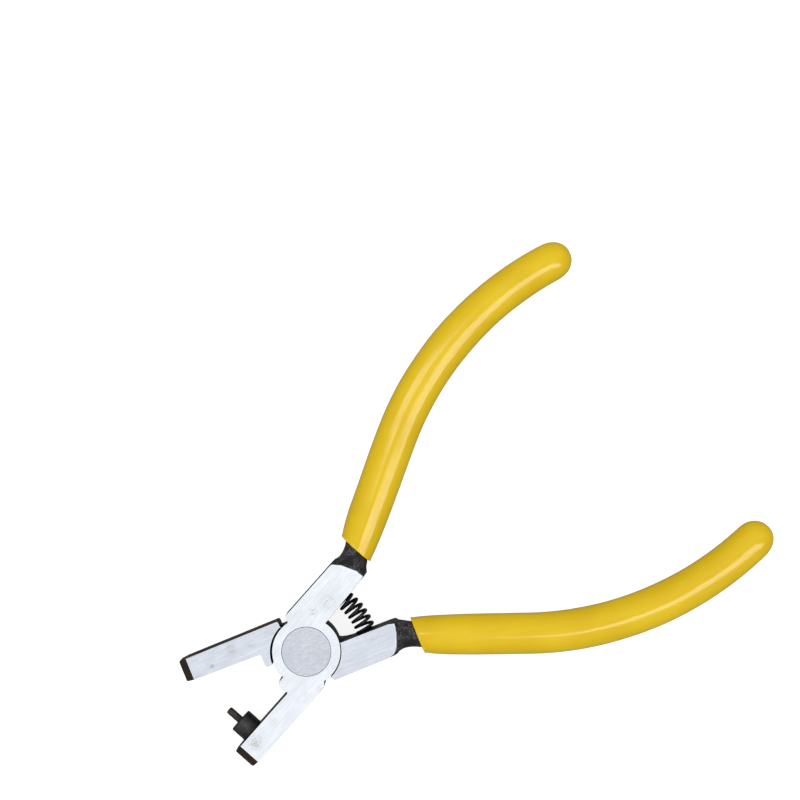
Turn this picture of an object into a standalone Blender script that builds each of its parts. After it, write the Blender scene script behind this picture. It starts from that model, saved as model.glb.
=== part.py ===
"""Hole punch pliers: two lap-jointed levers on a flush rivet, a round punch
pin in a screwed-in holder on one jaw, a die hole in the other, a coil return
spring between the roots and a dipped sleeve on each handle.

World frame, metres: the origin is on the pivot axis in the plane of the back
face; +Z comes out of the front face; +X is the tool's centre line, towards
the handles.  The jaws point to -X.  Each lever is drawn in its own plan frame
(u along the closed tool's centre line, v outwards on the handle's side) and
is then turned by half of the rest opening.
"""

import math

import bmesh
import bpy
from mathutils import Matrix, Vector

MM = 0.001

# ---------------------------------------------------------------- dimensions
HALF_OPEN = math.radians(13.1)      # each lever's turn from closed, at rest
THICK = 9.6 * MM                    # over the two ground faces
MID = THICK / 2                     # lap plane, and the plane of both handles
LAP_GAP = 0.10 * MM                 # between the two half-thickness discs
FIT = 0.10 * MM                     # radial gap round pressed or turning pieces
GRIND = 0.6 * MM                    # stock on each face before it is ground
STOCK = 0.42 * MM                   # stock on the sides of the root

BOSS_R = 7.45 * MM
RECESS_R = 7.75 * MM                # hollow round the other lever's disc
RECESS_SHIFT = -0.15 * MM           # its centre, towards the jaws

RIVET_HEAD_R = 5.3 * MM
RIVET_HEAD_H = 1.7 * MM
RIVET_SHANK_R = 3.5 * MM
RIVET_EDGE = 0.12 * MM

JAW_TIP = -26.8 * MM
TIP_BEVEL = 1.87 * MM               # ramp at the tip, seen in plan
TIP_BEVEL_DROP = 2.5 * MM
TOOTH_WALL = -9.4 * MM

PUNCH_U = -21.3 * MM
HOLDER_R = 2.65 * MM
HOLDER_TOP = 0.65 * MM
HOLDER_CHAMFER = 0.2 * MM
SHANK_R = 1.75 * MM
SHANK_BOTTOM = -6.4 * MM
PIN_R = 0.75 * MM
PIN_TIP = 4.0 * MM
PIN_HEAD_R = 1.15 * MM
PIN_HEAD_H = 0.8 * MM
DIE_R = 0.95 * MM
DIE_LAND = 1.45 * MM
RELIEF_R = 1.95 * MM

SPRING_U = 13.65 * MM               # radius of the spring's arc about the pivot
SPRING_R = 1.85 * MM                # mean coil radius
WIRE_R = 0.3 * MM
SPRING_REACH = 4.2 * MM             # how far each end lies out from the centre line
SPRING_TURNS = 11.5
SPRING_HOLE_R = 2.4 * MM
SPRING_HOLE_END = 5.3 * MM

MOUTH_U = 23.9 * MM                 # open end of each sleeve
SLEEVE_GAP = 0.12 * MM
TANG_LENGTH = 77.0 * MM
RING = 20                           # points round a section of a lever's bar

# One lever each: side +1 lies on +Y at the handle.
PUNCH = {
    "side": 1,
    "front": True,
    "jaw_inner": (-2.95 * MM, -2.95 * MM),   # at the tooth, at the tip
    "jaw_outer": -8.07 * MM,
    "tooth_top": 0.05 * MM,
    "tooth_chamfer": 0.55 * MM,
    "jaw_end": ((-2.25 * MM, -7.2 * MM), (-3.0 * MM, -7.97 * MM), (-3.3 * MM, -8.07 * MM)),
    "root_outer": 8.58 * MM,
    "root_corner": ((2.4 * MM, 7.9 * MM), (2.8 * MM, 8.58 * MM)),
    "root_inner": (1.0 * MM, 1.48 * MM),
    "handle_v": 6.77 * MM,                    # centre line at the sleeve's mouth
    "handle_angle": math.radians(21.75),
    "bend_u": 47.05 * MM,
    "bend_r": 72.0 * MM,
    "grip": 82.9 * MM,                       # sleeve's length along the centre line
}
ANVIL = {
    "side": -1,
    "front": False,
    "jaw_inner": (-3.3 * MM, -3.6 * MM),
    "jaw_outer": -8.47 * MM,
    "tooth_top": -0.25 * MM,
    "tooth_chamfer": 0.3 * MM,
    "jaw_end": ((-3.28 * MM, -7.1 * MM), (-3.3 * MM, -8.2 * MM), (-3.55 * MM, -8.47 * MM)),
    "root_outer": 8.05 * MM,
    "root_corner": ((2.9 * MM, 7.3 * MM), (3.42 * MM, 8.05 * MM)),
    "root_inner": (1.0 * MM, 1.2 * MM),
    "handle_v": 6.31 * MM,
    "handle_angle": math.radians(21.35),
    "bend_u": 46.2 * MM,
    "bend_r": 73.0 * MM,
    "grip": 83.3 * MM,
}

# ------------------------------------------------------------------- helpers
for old in list(bpy.data.objects):
    bpy.data.objects.remove(old, do_unlink=True)

PARTS = bpy.data.collections.new("hole_punch_pliers")
CUTTERS = bpy.data.collections.new("cutters")
for group in (PARTS, CUTTERS):
    bpy.context.scene.collection.children.link(group)


def material(name, color, roughness, metallic):
    made = bpy.data.materials.new(name)
    made.use_nodes = True
    shader = made.node_tree.nodes["Principled BSDF"]
    shader.inputs["Base Color"].default_value = (*color, 1.0)
    shader.inputs["Roughness"].default_value = roughness
    shader.inputs["Metallic"].default_value = metallic
    return made


def mesh_object(name, mesh, cutter=False):
    obj = bpy.data.objects.new(name, mesh)
    (CUTTERS if cutter else PARTS).objects.link(obj)
    if cutter:
        obj.hide_render = True
        obj.display_type = "WIRE"
    return obj


def placed(lever):
    """The lever's plan frame in the world: x = u, y = outwards on its side."""
    return Matrix.Rotation(lever["side"] * HALF_OPEN, 4, "Z")


def rounded(points, radii):
    """The outline with each corner turned into an arc of its own radius."""
    out = []
    count = len(points)
    for i, (corner, radius) in enumerate(zip(points, radii)):
        here = Vector(corner)
        before = Vector(points[i - 1]) - here
        after = Vector(points[(i + 1) % count]) - here
        if radius <= 0:
            out.append(here)
            continue
        a, b = before.normalized(), after.normalized()
        half = a.angle(b) / 2
        back = min(radius / math.tan(half), before.length * 0.45, after.length * 0.45)
        radius = back * math.tan(half)
        centre = here + (a + b).normalized() * (radius / math.sin(half))
        start, end = here + a * back - centre, here + b * back - centre
        steps = 4
        for k in range(steps + 1):
            t = k / steps
            ray = (start * (1 - t) + end * t).normalized() * radius
            out.append(centre + ray)
    return [tuple(p) for p in out]


def plate(name, outline, low, high, side=1, standing=False, cutter=False):
    """A flat outline given thickness, as a filled curve made into a mesh.
    Lying, it runs from z = low to high.  Standing, the outline is (u, z) and
    the thickness runs across, from v = low to high."""
    curve = bpy.data.curves.new(name, "CURVE")
    curve.dimensions = "2D"
    curve.fill_mode = "BOTH"
    curve.extrude = (high - low) / 2
    spline = curve.splines.new("POLY")
    spline.points.add(len(outline) - 1)
    for point, (x, y) in zip(spline.points, outline):
        point.co = (x, y if standing else side * y, 0, 1)
    spline.use_cyclic_u = True
    guide = bpy.data.objects.new(name + "_outline", curve)
    CUTTERS.objects.link(guide)
    if standing:
        guide.matrix_world = Matrix.Translation((0, side * (low + high) / 2, 0)) @ Matrix.Rotation(
            math.pi / 2, 4, "X"
        )
    else:
        guide.location.z = (low + high) / 2
    bpy.context.view_layer.update()
    graph = bpy.context.evaluated_depsgraph_get()
    mesh = bpy.data.meshes.new_from_object(guide.evaluated_get(graph))
    mesh.transform(guide.matrix_world)
    bpy.data.objects.remove(guide, do_unlink=True)
    tidy(mesh)
    return mesh_object(name, mesh, cutter)


def tidy(mesh, flat=True):
    shape = bmesh.new()
    shape.from_mesh(mesh)
    bmesh.ops.remove_doubles(shape, verts=shape.verts, dist=1e-7)
    if flat:
        bmesh.ops.dissolve_limit(
            shape,
            angle_limit=math.radians(0.05),
            use_dissolve_boundaries=False,
            verts=shape.verts,
            edges=shape.edges,
        )
    bmesh.ops.recalc_face_normals(shape, faces=shape.faces)
    shape.to_mesh(mesh)
    shape.free()


def cylinder(name, radius, base, direction, length, sides=64, cutter=False):
    """A cylinder from its base point along a direction."""
    direction = Vector(direction).normalized()
    shape = bmesh.new()
    bmesh.ops.create_cone(
        shape,
        cap_ends=True,
        segments=sides,
        radius1=radius,
        radius2=radius,
        depth=length,
    )
    turn = Vector((0, 0, 1)).rotation_difference(direction).to_matrix().to_4x4()
    shape.transform(Matrix.Translation(Vector(base) + direction * length / 2) @ turn)
    mesh = bpy.data.meshes.new(name)
    shape.to_mesh(mesh)
    shape.free()
    return mesh_object(name, mesh, cutter)


def block(name, low, high):
    """A box cutter between two corners."""
    shape = bmesh.new()
    bmesh.ops.create_cube(shape, size=1.0)
    low, high = Vector(low), Vector(high)
    shape.transform(Matrix.Translation((low + high) / 2) @ Matrix.Diagonal((*(high - low), 1.0)))
    mesh = bpy.data.meshes.new(name)
    shape.to_mesh(mesh)
    shape.free()
    return mesh_object(name, mesh, True)


def loft(name, rings):
    """A closed skin over a row of rings that have the same number of points."""
    shape = bmesh.new()
    rows = [[shape.verts.new(point) for point in ring] for ring in rings]
    count = len(rows[0])
    for row, other in zip(rows, rows[1:]):
        for i in range(count):
            j = (i + 1) % count
            shape.faces.new((row[i], row[j], other[j], other[i]))
    shape.faces.new(rows[0][::-1])
    shape.faces.new(rows[-1])
    bmesh.ops.recalc_face_normals(shape, faces=shape.faces)
    mesh = bpy.data.meshes.new(name)
    shape.to_mesh(mesh)
    shape.free()
    return mesh_object(name, mesh)


def combine(target, others, operation):
    """Joins or cuts with one exact Boolean after another, and drops the tools."""
    for other in others:
        step = target.modifiers.new("step", "BOOLEAN")
        step.operation = operation
        step.solver = "EXACT"
        step.object = other
        bpy.context.view_layer.update()
        graph = bpy.context.evaluated_depsgraph_get()
        mesh = bpy.data.meshes.new_from_object(target.evaluated_get(graph))
        target.modifiers.clear()
        target.data = mesh
        tidy(mesh)
        bpy.data.objects.remove(other, do_unlink=True)
    return target


def turned(name, profile, sides, matrix, made_of):
    """A turned piece: a half profile of (radius, height) pairs, top to bottom."""
    mesh = bpy.data.meshes.new(name)
    mesh.from_pydata(
        [(r, 0, h) for r, h in profile], [(i, i + 1) for i in range(len(profile) - 1)], []
    )
    obj = mesh_object(name, mesh)
    obj.matrix_world = matrix
    screw = obj.modifiers.new("turn", "SCREW")
    screw.steps = screw.render_steps = sides
    screw.use_merge_vertices = True
    screw.merge_threshold = 1e-6
    screw.use_smooth_shade = True
    obj.data.materials.append(made_of)
    return obj


def finish(obj, name, made_of, lever=None):
    obj.name = obj.data.name = name
    if lever:
        obj.data.transform(placed(lever))
    obj.data.materials.clear()
    obj.data.materials.append(made_of)
    obj.data.shade_smooth()
    obj.data.set_sharp_from_angle(angle=math.radians(30))
    return obj


# ------------------------------------------------------------- handle's line
def handle_at(lever, s):
    """(u, v, direction) of the handle's centre line, s from the sleeve's mouth:
    straight at first, then one long bend back towards the centre line."""
    angle, radius = lever["handle_angle"], lever["bend_r"]
    straight = (lever["bend_u"] - MOUTH_U) / math.cos(angle)
    run = min(s, straight)
    u = MOUTH_U + run * math.cos(angle)
    v = lever["handle_v"] + run * math.sin(angle)
    if s > straight:
        now = angle - (s - straight) / radius
        u += radius * (math.sin(angle) - math.sin(now))
        v += radius * (math.cos(now) - math.cos(angle))
        angle = now
    return u, v, angle


def ring_across(centre, across, half_width, half_height, power, count, side):
    """A superellipse ring: its width lies in plan along across, its height on Z."""
    ring = []
    for i in range(count):
        t = 2 * math.pi * (i + 0.5) / count
        c, s = math.cos(t), math.sin(t)
        w = half_width * math.copysign(abs(c) ** (2 / power), c)
        h = half_height * math.copysign(abs(s) ** (2 / power), s)
        ring.append(
            (centre[0] + across[0] * w, side * (centre[1] + across[1] * w), MID + h)
        )
    return ring


def box_ring(outer, inner, half_height, corner, side):
    """A rounded rectangle between an outer and an inner edge point in plan."""
    outer, inner = Vector(outer), Vector(inner)
    centre, across = (outer + inner) / 2, (outer - inner).normalized()
    half_width = (outer - inner).length / 2
    corner = min(corner, half_width * 0.98, half_height * 0.98)
    ring = []
    for quadrant in range(4):
        for k in range(RING // 4):
            t = math.pi / 2 * (quadrant + k / (RING // 4 - 1))
            c, s = math.cos(t), math.sin(t)
            # the arc's centre sits in the corner of this quadrant
            mid = math.pi / 2 * (quadrant + 0.5)
            w = math.copysign(half_width - corner, math.cos(mid)) + corner * c
            h = math.copysign(half_height - corner, math.sin(mid)) + corner * s
            ring.append(
                (centre.x + across.x * w, side * (centre.y + across.y * w), MID + h)
            )
    return ring


def tang_size(s):
    """Half width and half height of the tang, s from the sleeve's mouth."""
    t = max(0.0, min(1.0, s / TANG_LENGTH))
    return (2.85 - 0.75 * t) * MM, (3.2 - 1.0 * min(1.0, t * 3)) * MM


def tang_rings(lever, grow=0.0, start=1.5 * MM):
    side = lever["side"]
    rings = []
    steps = 9
    for k in range(steps + 1):
        s = start + (TANG_LENGTH - start) * k / steps
        u, v, angle = handle_at(lever, s)
        width, height = tang_size(s)
        across = (-math.sin(angle), math.cos(angle))
        rings.append((u, v, across, width + grow, height + grow))
    return rings


def tang_end(lever, grow=0.0):
    """A domed end on the tang: rings that shrink along the last millimetres."""
    ends = []
    width, height = tang_size(TANG_LENGTH)
    for k in range(1, 3):
        t = k / 2 * math.radians(70)
        s = TANG_LENGTH + math.sin(t) * (1.6 * MM + grow)
        u, v, angle = handle_at(lever, s)
        across = (-math.sin(angle), math.cos(angle))
        ends.append(
            (u, v, across, (width + grow) * math.cos(t), (height + grow) * math.cos(t))
        )
    return ends


def section(entry, side, count=RING, power=2.4):
    u, v, across, width, height = entry
    return ring_across((u, v), across, width, height, power, count, side)


# --------------------------------------------------------------- the levers
def root_edge(lever, u):
    """The root's inner edge runs straight, from near the disc to the neck."""
    near, far = lever["root_inner"]
    t = (u - 8.0 * MM) / (12.2 * MM)
    return near + (far - near) * t


def make_lever(name, lever, made_of):
    """A forging drawn oversize, then ground: both faces flat to thickness and
    the outer side of the root flat, which leaves the neck rounded and black."""
    side, front = lever["side"], lever["front"]
    in_tooth, in_tip = lever["jaw_inner"]
    outer = lever["jaw_outer"]
    top = lever["tooth_top"]
    chamfer = lever["tooth_chamfer"]
    jaw = rounded(
        [
            (JAW_TIP, in_tip),
            (TOOTH_WALL, in_tooth),
            (TOOTH_WALL, top - chamfer),
            (TOOTH_WALL + chamfer * 0.8, top),
            (-6.9 * MM, top + 0.05 * MM),
            (-2.0 * MM, -2.0 * MM),
            (-1.6 * MM, -7.05 * MM),
            *lever["jaw_end"],
            (JAW_TIP, outer),
        ],
        [0.3 * MM, 0.25 * MM, 0.15 * MM, 0.15 * MM, 0, 0, 0, 0, 0, 0, 0.5 * MM],
    )
    body = plate(name, jaw, -GRIND, THICK + GRIND, side)

    # root, neck and tang are one bar; each ring runs from an outer edge point to
    # an inner one, and stock is left where the root is ground
    out = lever["root_outer"] + STOCK
    tall = MID + GRIND
    low_corner, high_corner = (Vector(point) for point in lever["root_corner"])
    slant = (high_corner - low_corner) / (high_corner - low_corner).y
    sink = lever["handle_v"] - 6.77 * MM

    def inner(u):
        return (u, root_edge(lever, u) - STOCK)

    def inner_neck(u):
        return (u, root_edge(lever, u) + 0.02 * MM)

    stations = [
        (high_corner + slant * STOCK, low_corner - slant * (low_corner.y - 1.3 * MM), tall, 1.3 * MM),
        ((9.5 * MM, out), inner(10.2 * MM), tall, 1.4 * MM),
        ((14.8 * MM, out), inner(17.4 * MM), tall, 1.45 * MM),
        ((17.1 * MM, out), inner(20.3 * MM), MID + 0.32 * MM, 1.5 * MM),
        ((18.0 * MM, out - 0.2 * MM), inner_neck(20.95 * MM), MID + 0.06 * MM, 1.9 * MM),
        ((18.95 * MM, out - 0.43 * MM), (21.5 * MM, 1.72 * MM), MID - 0.22 * MM, 2.2 * MM),
        ((20.0 * MM, 8.42 * MM), (22.2 * MM, 2.05 * MM), MID - 0.58 * MM, 2.4 * MM),
        ((21.2 * MM, 8.55 * MM + sink / 2), (23.1 * MM, 2.65 * MM + sink / 2), 3.75 * MM, 2.5 * MM),
        ((22.35 * MM, 8.9 * MM + sink), (24.4 * MM, 3.85 * MM + sink), 3.35 * MM, 2.5 * MM),
    ]
    rings = [box_ring(*station, side) for station in stations]
    rings += [
        section(entry, side) for entry in tang_rings(lever, start=2.2 * MM) + tang_end(lever)
    ]
    handle = loft(name + "_handle", rings)
    disc = cylinder(
        name + "_disc", BOSS_R, (0, 0, -2 * GRIND), (0, 0, 1), THICK + 4 * GRIND, 72
    )
    combine(body, [disc, handle], "UNION")

    # half the thickness is cut away round the pivot, for the other lever's disc
    low, high = (-3 * MM, MID + LAP_GAP / 2) if front else (MID - LAP_GAP / 2, THICK + 3 * MM)
    cuts = [
        cylinder("hollow", RECESS_R, (RECESS_SHIFT, 0, low), (0, 0, 1), high - low, 72, True),
        # rivet seat: a shank hole, and a counterbore on the lever's own face
        cylinder("shank_hole", RIVET_SHANK_R + FIT, (0, 0, -3 * MM), (0, 0, 1), THICK + 6 * MM, 48, True),
        cylinder(
            "head_seat",
            RIVET_HEAD_R + FIT,
            (0, 0, THICK - RIVET_HEAD_H if front else -3 * MM),
            (0, 0, 1),
            RIVET_HEAD_H + 3 * MM,
            64,
            True,
        ),
        # blind spring seat, square to the inner side of the root
        cylinder(
            "spring_seat",
            SPRING_HOLE_R,
            (SPRING_U, -side * 1.0 * MM, MID),
            (0, side, 0),
            SPRING_HOLE_END + 1.0 * MM,
            32,
            True,
        ),
    ]
    if front:
        cuts.append(
            cylinder(
                "holder_seat",
                SHANK_R + FIT,
                (PUNCH_U, side * (SHANK_BOTTOM - FIT), MID),
                (0, side, 0),
                6.0 * MM,
                32,
                True,
            )
        )
    else:
        t = (PUNCH_U - TOOTH_WALL) / (JAW_TIP - TOOTH_WALL)
        face = in_tooth + (in_tip - in_tooth) * t
        cuts.append(
            cylinder("die_hole", DIE_R, (PUNCH_U, side * -10.0 * MM, MID), (0, side, 0), 9.0 * MM, 24, True)
        )
        cuts.append(
            cylinder(
                "slug_relief",
                RELIEF_R,
                (PUNCH_U, side * -11.0 * MM, MID),
                (0, side, 0),
                11.0 * MM + face - DIE_LAND,
                32,
                True,
            )
        )
    # ramps on both sides of the tip
    for flip in (False, True):
        ramp = [
            (JAW_TIP + TIP_BEVEL, THICK),
            (JAW_TIP + TIP_BEVEL + 1.12 * MM, THICK + 2 * MM),
            (JAW_TIP - 2.0 * MM, THICK + 2 * MM),
            (JAW_TIP - 2.0 * MM, THICK - TIP_BEVEL_DROP * (1 + 2.0 * MM / TIP_BEVEL)),
        ]
        if flip:
            ramp = [(u, THICK - z) for u, z in ramp]
        cuts.append(plate("ramp", ramp, -12 * MM, 2 * MM, side, standing=True, cutter=True))
    # the ground planes
    outer_side = lever["root_outer"]
    cuts.append(block("grind_front", (-40 * MM, -40 * MM, THICK), (130 * MM, 60 * MM, THICK + 5 * MM)))
    cuts.append(block("grind_back", (-40 * MM, -40 * MM, -5 * MM), (130 * MM, 60 * MM, 0)))
    ys = sorted((side * outer_side, side * 12 * MM))
    cuts.append(block("grind_side", (-1 * MM, ys[0], -2 * MM), (19.0 * MM, ys[1], THICK + 2 * MM)))
    under = [
        (7.5 * MM, -6 * MM),
        (21.0 * MM, -6 * MM),
        (21.0 * MM, root_edge(lever, 21.0 * MM)),
        (7.5 * MM, root_edge(lever, 7.5 * MM)),
    ]
    cuts.append(plate("grind_inner", under, -2 * MM, THICK + 2 * MM, side, cutter=True))
    combine(body, cuts, "DIFFERENCE")
    return finish(body, name, made_of, lever)


def grip_radius(s):
    """The sleeve's outer radius, s from its mouth, before the rounded end."""
    swell = 1 - math.exp(-max(0.0, s) / (4.0 * MM))
    t = s / (83.0 * MM)
    return (3.95 + 0.5 * swell + 0.12 * math.sin(math.pi * min(1.0, t * 1.05)) - 0.25 * t * t) * MM


def make_grip(name, lever, made_of):
    """A cup: rings from the bottom of its hollow out to the mouth, then back
    along the outside to the rounded end."""
    side = lever["side"]
    count = 18
    inner = [
        section(entry, side, count)
        for entry in (tang_rings(lever, SLEEVE_GAP, 2.2 * MM) + tang_end(lever, SLEEVE_GAP))
    ]
    # the mouth is cut square to u, so its rings turn from that plane to the path
    def tilted(s, width, height, power=2.0):
        u, v, angle = handle_at(lever, s)
        turn = angle * min(1.0, max(0.0, s / (7.0 * MM)))
        across = (-math.sin(turn), math.cos(turn))
        return ring_across((u, v), across, width / math.cos(angle - turn), height, power, count, side)

    width, height = tang_size(0.0)
    mouth_in = tilted(0.0, width + 0.5 * MM, height + 0.42 * MM, 2.3)
    rings = inner[::-1] + [mouth_in]
    cap = grip_radius(lever["grip"])
    straight_end = lever["grip"] - cap
    steps = 13
    outside = []
    for k in range(steps + 1):
        s = straight_end * (k / steps) ** 1.15
        radius = grip_radius(s)
        if k == 0:
            outside.append(tilted(0.0, radius - 0.1 * MM, radius - 0.1 * MM))
            s = 0.12 * MM
        outside.append(tilted(s, radius, radius))
    for k in range(1, 5):
        t = k / 4 * math.radians(80)
        s = straight_end + cap * math.sin(t)
        outside.append(tilted(s, cap * math.cos(t), cap * math.cos(t)))
    obj = loft(name, rings + outside)
    return finish(obj, name, made_of, lever)


# --------------------------------------------------------------- materials
STEEL = material("ground_steel_punch_side", (0.78, 0.80, 0.83), 0.32, 1.0)
STEEL_B = material("ground_steel_anvil_side", (0.76, 0.78, 0.82), 0.32, 1.0)
RIVET = material("ground_rivet", (0.60, 0.62, 0.67), 0.38, 1.0)
BLACK_WIRE = material("black_spring_wire", (0.015, 0.015, 0.016), 0.35, 0.6)
BLACK_HOLDER = material("black_oxide_holder", (0.012, 0.012, 0.013), 0.4, 0.5)
PIN_STEEL = material("dark_pin_steel", (0.05, 0.042, 0.038), 0.35, 0.8)
VINYL = material("yellow_dip_punch_side", (0.70, 0.50, 0.03), 0.22, 0.0)
VINYL_B = material("yellow_dip_anvil_side", (0.70, 0.50, 0.03), 0.22, 0.0)

make_lever("punch_lever", PUNCH, STEEL)
make_lever("anvil_lever", ANVIL, STEEL_B)
make_grip("grip_punch_side", PUNCH, VINYL)
make_grip("grip_anvil_side", ANVIL, VINYL_B)

# rivet: two wide heads, flush with the ground faces, on a thinner shank
turned(
    "pivot_rivet",
    [
        (0, THICK),
        (RIVET_HEAD_R - RIVET_EDGE, THICK),
        (RIVET_HEAD_R, THICK - RIVET_EDGE),
        (RIVET_HEAD_R, THICK - RIVET_HEAD_H + FIT),
        (RIVET_SHANK_R, THICK - RIVET_HEAD_H + FIT),
        (RIVET_SHANK_R, RIVET_HEAD_H - FIT),
        (RIVET_HEAD_R, RIVET_HEAD_H - FIT),
        (RIVET_HEAD_R, RIVET_EDGE),
        (RIVET_HEAD_R - RIVET_EDGE, 0),
        (0, 0),
    ],
    64,
    Matrix.Identity(4),
    RIVET,
)

# the punch: its axis lies along v at mid thickness, on the punch lever's jaw
ALONG_V = (
    placed(PUNCH)
    @ Matrix.Translation((PUNCH_U, 0, MID))
    @ Matrix.Rotation(-math.pi / 2, 4, "X")
)
JAW_FACE = PUNCH["jaw_inner"][0]
SEAT_TOP = SHANK_BOTTOM + PIN_HEAD_H + 2 * FIT
turned(
    "punch_holder",
    [
        (PIN_R + FIT, HOLDER_TOP),
        (HOLDER_R - HOLDER_CHAMFER, HOLDER_TOP),
        (HOLDER_R, HOLDER_TOP - HOLDER_CHAMFER),
        (HOLDER_R, JAW_FACE + FIT),
        (SHANK_R, JAW_FACE + FIT),
        (SHANK_R, SHANK_BOTTOM),
        (PIN_HEAD_R + FIT, SHANK_BOTTOM),
        (PIN_HEAD_R + FIT, SEAT_TOP),
        (PIN_R + FIT, SEAT_TOP),
        (PIN_R + FIT, HOLDER_TOP),
    ],
    32,
    ALONG_V,
    BLACK_HOLDER,
)
turned(
    "punch_pin",
    [
        (0, PIN_TIP),
        (PIN_R - 0.3 * MM, PIN_TIP),
        (PIN_R - 0.09 * MM, PIN_TIP - 0.09 * MM),
        (PIN_R, PIN_TIP - 0.3 * MM),
        (PIN_R, SHANK_BOTTOM + FIT / 2 + PIN_HEAD_H),
        (PIN_HEAD_R, SHANK_BOTTOM + FIT / 2 + PIN_HEAD_H),
        (PIN_HEAD_R, SHANK_BOTTOM + FIT / 2),
        (0, SHANK_BOTTOM + FIT / 2),
    ],
    20,
    ALONG_V,
    PIN_STEEL,
)


# return spring: a helix on a line that is straight in each root's seat and an
# arc about the pivot between them
def spring_line(t):
    """Point and direction at t from 0 (anvil side) to 1 (punch side)."""
    arc = 2 * HALF_OPEN * SPRING_U
    total = arc + 2 * SPRING_REACH
    s = t * total
    if s < SPRING_REACH:
        turn = -HALF_OPEN
        local = Vector((SPRING_U, s - SPRING_REACH, 0))
    elif s < SPRING_REACH + arc:
        turn = -HALF_OPEN + (s - SPRING_REACH) / SPRING_U
        local = Vector((SPRING_U, 0, 0))
    else:
        turn = HALF_OPEN
        local = Vector((SPRING_U, s - SPRING_REACH - arc, 0))
    spin = Matrix.Rotation(turn, 3, "Z")
    return spin @ local, spin @ Vector((0, 1, 0))


wire = bpy.data.curves.new("return_spring", "CURVE")
wire.dimensions = "3D"
wire.bevel_depth = WIRE_R
wire.bevel_resolution = 2
wire.use_fill_caps = True
coil = wire.splines.new("POLY")
POINTS = int(SPRING_TURNS * 10)
coil.points.add(POINTS)
for i, point in enumerate(coil.points):
    t = i / POINTS
    centre, ahead = spring_line(t)
    outwards = ahead.cross(Vector((0, 0, 1)))
    phase = 2 * math.pi * SPRING_TURNS * t
    spot = centre + SPRING_R * (
        outwards * math.cos(phase) + Vector((0, 0, 1)) * math.sin(phase)
    )
    point.co = (spot.x, spot.y, spot.z + MID, 1)
spring = bpy.data.objects.new("return_spring", wire)
PARTS.objects.link(spring)
wire.materials.append(BLACK_WIRE)
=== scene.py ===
"""Looks for the hole punch pliers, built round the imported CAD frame."""

import math

import bmesh
import bpy
from mathutils import Matrix, Vector


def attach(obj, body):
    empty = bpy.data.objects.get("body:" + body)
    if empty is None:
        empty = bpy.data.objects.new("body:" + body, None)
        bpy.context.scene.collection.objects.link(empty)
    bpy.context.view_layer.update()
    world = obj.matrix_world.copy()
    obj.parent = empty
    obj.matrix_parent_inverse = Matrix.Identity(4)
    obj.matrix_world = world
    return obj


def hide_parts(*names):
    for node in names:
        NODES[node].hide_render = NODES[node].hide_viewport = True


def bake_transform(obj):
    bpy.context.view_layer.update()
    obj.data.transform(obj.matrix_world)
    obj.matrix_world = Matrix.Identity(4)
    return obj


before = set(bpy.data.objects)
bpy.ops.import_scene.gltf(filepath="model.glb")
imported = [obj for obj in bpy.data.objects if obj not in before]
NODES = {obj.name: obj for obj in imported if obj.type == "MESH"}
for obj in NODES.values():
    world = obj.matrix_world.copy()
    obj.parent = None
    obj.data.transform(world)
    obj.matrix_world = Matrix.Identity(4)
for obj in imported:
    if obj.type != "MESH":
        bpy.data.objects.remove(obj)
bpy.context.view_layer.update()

MM = 0.001

# ------------------------------------------------ sizes shared with the CAD
HALF_OPEN = math.radians(13.1)
THICK = 9.6 * MM
MID = THICK / 2
LAP_GAP = 0.10 * MM
GRIND = 0.6 * MM
STOCK = 0.42 * MM
BOSS_R = 7.45 * MM
RECESS_R = 7.75 * MM
RECESS_SHIFT = -0.15 * MM
RIVET_HEAD_R = 5.3 * MM
RIVET_HEAD_H = 1.7 * MM
RIVET_SHANK_R = 3.5 * MM
JAW_TIP = -26.8 * MM
TIP_BEVEL = 1.87 * MM
TIP_BEVEL_DROP = 2.5 * MM
TOOTH_WALL = -9.4 * MM
PUNCH_U = -21.3 * MM
HOLDER_R = 2.65 * MM
HOLDER_TOP = 0.65 * MM
SHANK_R = 1.75 * MM
SHANK_BOTTOM = -6.4 * MM
PIN_R = 0.75 * MM
PIN_TIP = 4.0 * MM
PIN_HEAD_R = 1.15 * MM
PIN_HEAD_H = 0.8 * MM
DIE_R = 0.95 * MM
DIE_LAND = 1.45 * MM
RELIEF_R = 1.95 * MM
SPRING_U = 13.65 * MM
SPRING_HOLE_R = 2.4 * MM
SPRING_HOLE_END = 5.3 * MM
MOUTH_U = 23.9 * MM
TANG_LENGTH = 77.0 * MM
SLEEVE_GAP = 0.12 * MM
FIT = 0.1 * MM

EDGE = 0.11 * MM                    # broken edges on the ground steel
CORNER_STEPS = 9                    # segments in a small plan corner
RING_QUARTER = 13                   # points in a quarter of a bar's section

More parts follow.
